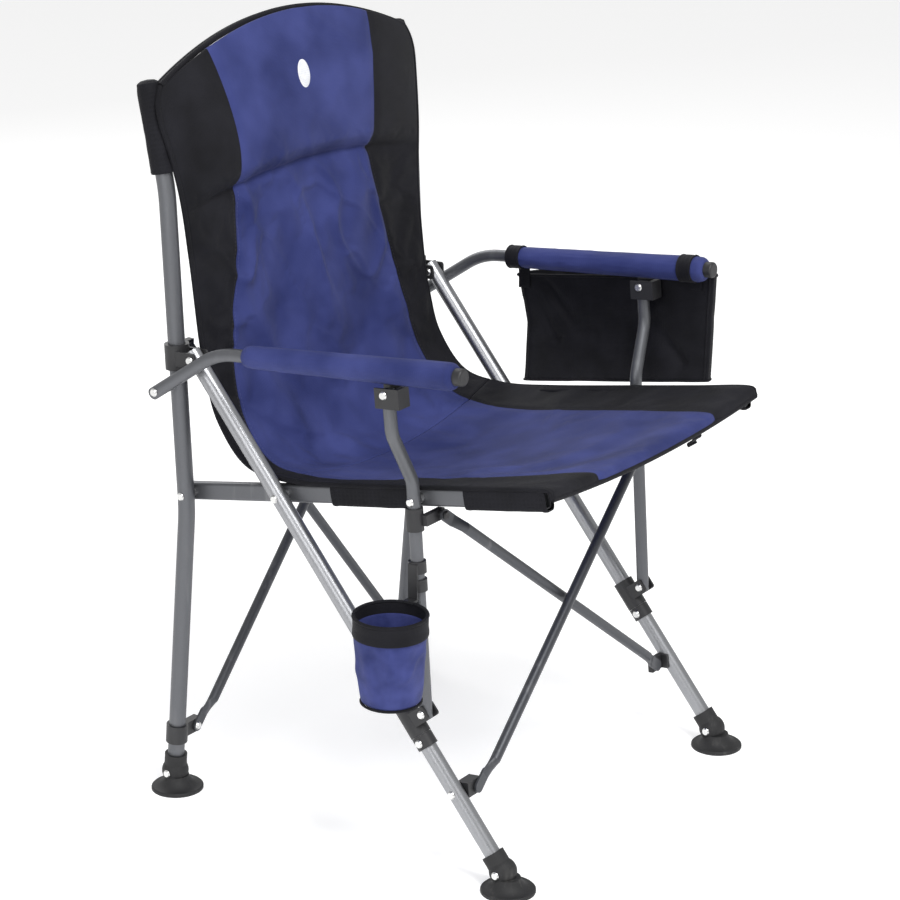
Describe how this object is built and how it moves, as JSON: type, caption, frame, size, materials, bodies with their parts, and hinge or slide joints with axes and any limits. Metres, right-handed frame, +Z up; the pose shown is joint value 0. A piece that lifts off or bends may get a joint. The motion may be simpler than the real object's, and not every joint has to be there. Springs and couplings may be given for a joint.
{
  "type": "folding camp chair",
  "caption": "Folding camp chair with a crossed tube frame, fabric sling seat and high back, padded arm rests, cup holder and side bag.",
  "frame": {"origin": "on the floor, under the middle of the bounding box, on the plane half way between the two side frames", "axes": "+Z up, the sitter faces -Y, the sitter's right hand (cup holder) is at -X"},
  "size_m": [0.77, 0.6395, 1.0469],
  "materials": {
    "grey_tube": "satin grey powder coat",
    "dark_tube": "dark grey powder coat",
    "leg_tube": "light grey powder coat",
    "rivet_steel": "domed steel rivets",
    "black_plastic": "moulded black nylon",
    "foot_rubber": "black rubber",
    "blue_fabric": "blue woven polyester",
    "black_fabric": "black woven polyester",
    "cup_blue": "blue coated fabric"
  },
  "bodies": {
    "right_post": {"right_rear_post": "grey_tube", "right_rear_foot": "foot_rubber", "right_low_bracket": "black_plastic", "right_post_rivets": "rivet_steel", "right_back_pocket": "black_fabric", "back_panel": "blue_fabric"},
    "right_post_slider": {"right_post_slider": "black_plastic", "right_post_slider_rivets": "rivet_steel"},
    "right_rail": {"right_seat_rail": "grey_tube", "right_rail_rivets": "rivet_steel", "right_seat_pockets": "black_fabric", "seat_panel": "blue_fabric"},
    "right_leg": {"right_front_leg": "leg_tube", "right_front_foot": "foot_rubber", "right_leg_rivets": "rivet_steel", "right_stop_collar": "black_plastic"},
    "right_leg_slider": {"right_leg_slider": "black_plastic", "right_leg_slider_rivets": "rivet_steel"},
    "right_strut": {"right_arm_strut": "grey_tube", "cup_holder": "cup_blue", "cup_holder_rim": "black_fabric", "cup_holder_clip": "black_plastic"},
    "right_strut_sleeve": {"right_strut_sleeve": "black_plastic"},
    "right_arm": {"right_arm_tube": "grey_tube", "right_arm_pad": "blue_fabric", "right_arm_cap": "black_plastic", "right_arm_bracket": "black_plastic", "right_arm_bracket_rivets": "rivet_steel"},
    "right_rear_bar": {"right_rear_cross_bar": "dark_tube"},
    "right_front_swivel": {"right_front_swivel": "black_plastic"},
    "right_front_bar": {"right_front_cross_bar": "dark_tube"},
    "left_post": {"left_rear_post": "grey_tube", "left_rear_foot": "foot_rubber", "left_low_bracket": "black_plastic", "left_post_rivets": "rivet_steel", "left_back_pocket": "black_fabric"},
    "left_post_slider": {"left_post_slider": "black_plastic", "left_post_slider_rivets": "rivet_steel"},
    "left_rail": {"left_seat_rail": "grey_tube", "left_rail_rivets": "rivet_steel", "left_seat_pockets": "black_fabric"},
    "left_leg": {"left_front_leg": "leg_tube", "left_front_foot": "foot_rubber", "left_leg_rivets": "rivet_steel", "left_stop_collar": "black_plastic"},
    "left_leg_slider": {"left_leg_slider": "black_plastic", "left_leg_slider_rivets": "rivet_steel"},
    "left_strut": {"left_arm_strut": "grey_tube"},
    "left_strut_sleeve": {"left_strut_sleeve": "black_plastic"},
    "left_arm": {"left_arm_tube": "grey_tube", "left_arm_pad": "blue_fabric", "left_arm_cap": "black_plastic", "left_arm_bracket": "black_plastic", "left_arm_bracket_rivets": "rivet_steel", "side_bag": "black_fabric", "bag_straps": "black_fabric"},
    "left_rear_bar": {"left_rear_cross_bar": "dark_tube"},
    "left_front_swivel": {"left_front_swivel": "black_plastic"},
    "left_front_bar": {"left_front_cross_bar": "dark_tube"}
  },
  "joints": [
    {"name": "fold", "type": "slide", "parent": "right_post", "child": "left_post", "axis": [-1, 0, 0], "range_m": [0, 0.41553], "deforming": ["back_panel", "seat_panel"]},
    {"name": "right_post_slider_slide", "type": "slide", "parent": "right_post", "child": "right_post_slider", "axis": [0, 0.0384, 0.9993], "range_m": [0, 0.17683]},
    {"name": "right_rail_pivot", "type": "hinge", "parent": "right_post", "child": "right_rail", "pos_m": [-0.25, 0.2525, 0.437], "axis": [-1, 0, 0], "range_deg": [0, 70.66]},
    {"name": "right_leg_pivot", "type": "hinge", "parent": "right_rail", "child": "right_leg", "pos_m": [-0.272, 0.09493, 0.46478], "axis": [1, 0, 0], "range_deg": [0, 107.21]},
    {"name": "right_strut_pivot", "type": "hinge", "parent": "right_rail", "child": "right_strut", "pos_m": [-0.272, -0.11946, 0.50259], "axis": [1, 0, 0], "range_deg": [0, 75.45]},
    {"name": "right_arm_pivot", "type": "hinge", "parent": "right_post", "child": "right_arm", "pos_m": [-0.306, 0.2665, 0.588], "axis": [-1, 0, 0], "range_deg": [0, 69.18]},
    {"name": "right_leg_slider_slide", "type": "slide", "parent": "right_leg", "child": "right_leg_slider", "axis": [0, 0.6259, 0.7799], "range_m": [0, 0.26656]},
    {"name": "right_sleeve_slide", "type": "slide", "parent": "right_strut", "child": "right_strut_sleeve", "axis": [0, -0.0631, -0.998], "range_m": [0, 0.03673]},
    {"name": "right_swivel_pivot", "type": "hinge", "parent": "right_leg", "child": "right_front_swivel", "pos_m": [-0.272, -0.18423, 0.11696], "axis": [-1, 0, 0], "range_deg": [0, 26.59]},
    {"name": "right_front_bar_pivot", "type": "hinge", "parent": "left_strut_sleeve", "child": "right_front_bar", "pos_m": [0.241, -0.16136, 0.48165], "axis": [0.0745, -0.9972, 0.0037], "range_deg": [0, 46.65]},
    {"name": "right_rear_bar_pivot", "type": "hinge", "parent": "right_post", "child": "right_rear_bar", "pos_m": [-0.2385, 0.2755, 0.084], "axis": [-0.0253, -0.9995, -0.0211], "range_deg": [0, 36.29]},
    {"name": "left_post_slider_slide", "type": "slide", "parent": "left_post", "child": "left_post_slider", "axis": [0, 0.0384, 0.9993], "range_m": [0, 0.17683]},
    {"name": "left_rail_pivot", "type": "hinge", "parent": "left_post", "child": "left_rail", "pos_m": [0.25, 0.2525, 0.437], "axis": [-1, 0, 0], "range_deg": [0, 70.66]},
    {"name": "left_leg_pivot", "type": "hinge", "parent": "left_rail", "child": "left_leg", "pos_m": [0.272, 0.09493, 0.46478], "axis": [1, 0, 0], "range_deg": [0, 107.21]},
    {"name": "left_strut_pivot", "type": "hinge", "parent": "left_rail", "child": "left_strut", "pos_m": [0.272, -0.11946, 0.50259], "axis": [1, 0, 0], "range_deg": [0, 75.45]},
    {"name": "left_arm_pivot", "type": "hinge", "parent": "left_post", "child": "left_arm", "pos_m": [0.306, 0.2665, 0.588], "axis": [-1, 0, 0], "range_deg": [0, 69.18]},
    {"name": "left_leg_slider_slide", "type": "slide", "parent": "left_leg", "child": "left_leg_slider", "axis": [0, 0.6259, 0.7799], "range_m": [0, 0.26656]},
    {"name": "left_sleeve_slide", "type": "slide", "parent": "left_strut", "child": "left_strut_sleeve", "axis": [0, -0.0631, -0.998], "range_m": [0, 0.03817]},
    {"name": "left_swivel_pivot", "type": "hinge", "parent": "left_leg", "child": "left_front_swivel", "pos_m": [0.272, -0.18423, 0.11696], "axis": [-1, 0, 0], "range_deg": [0, 26.59]},
    {"name": "left_front_bar_pivot", "type": "hinge", "parent": "right_strut_sleeve", "child": "left_front_bar", "pos_m": [-0.241, -0.14545, 0.48002], "axis": [0.0745, 0.9972, -0.0037], "range_deg": [0, 46.65]},
    {"name": "left_rear_bar_pivot", "type": "hinge", "parent": "left_post", "child": "left_rear_bar", "pos_m": [0.2385, 0.2755, 0.084], "axis": [-0.0253, 0.9995, 0.0211], "range_deg": [0, 36.29]}
  ],
  "couplings": [
    {"joint": "right_post_slider_slide", "follows": "fold", "ratio": 0.42556},
    {"joint": "right_rail_pivot", "follows": "fold", "rad_per_m": 2.968},
    {"joint": "right_leg_pivot", "follows": "fold", "rad_per_m": 4.5032},
    {"joint": "right_strut_pivot", "follows": "fold", "rad_per_m": 3.1692},
    {"joint": "right_arm_pivot", "follows": "fold", "rad_per_m": 2.9059},
    {"joint": "right_leg_slider_slide", "follows": "fold", "ratio": 0.64149},
    {"joint": "right_sleeve_slide", "follows": "fold", "ratio": 0.088387},
    {"joint": "right_swivel_pivot", "follows": "fold", "rad_per_m": 1.1168},
    {"joint": "right_front_bar_pivot", "follows": "fold", "rad_per_m": 1.9595},
    {"joint": "right_rear_bar_pivot", "follows": "fold", "rad_per_m": 1.5242},
    {"joint": "left_post_slider_slide", "follows": "fold", "ratio": 0.42556},
    {"joint": "left_rail_pivot", "follows": "fold", "rad_per_m": 2.968},
    {"joint": "left_leg_pivot", "follows": "fold", "rad_per_m": 4.5032},
    {"joint": "left_strut_pivot", "follows": "fold", "rad_per_m": 3.1692},
    {"joint": "left_arm_pivot", "follows": "fold", "rad_per_m": 2.9059},
    {"joint": "left_leg_slider_slide", "follows": "fold", "ratio": 0.64149},
    {"joint": "left_sleeve_slide", "follows": "fold", "ratio": 0.091861},
    {"joint": "left_swivel_pivot", "follows": "fold", "rad_per_m": 1.1169},
    {"joint": "left_front_bar_pivot", "follows": "fold", "rad_per_m": 1.9595},
    {"joint": "left_rear_bar_pivot", "follows": "fold", "rad_per_m": 1.5242}
  ]
}
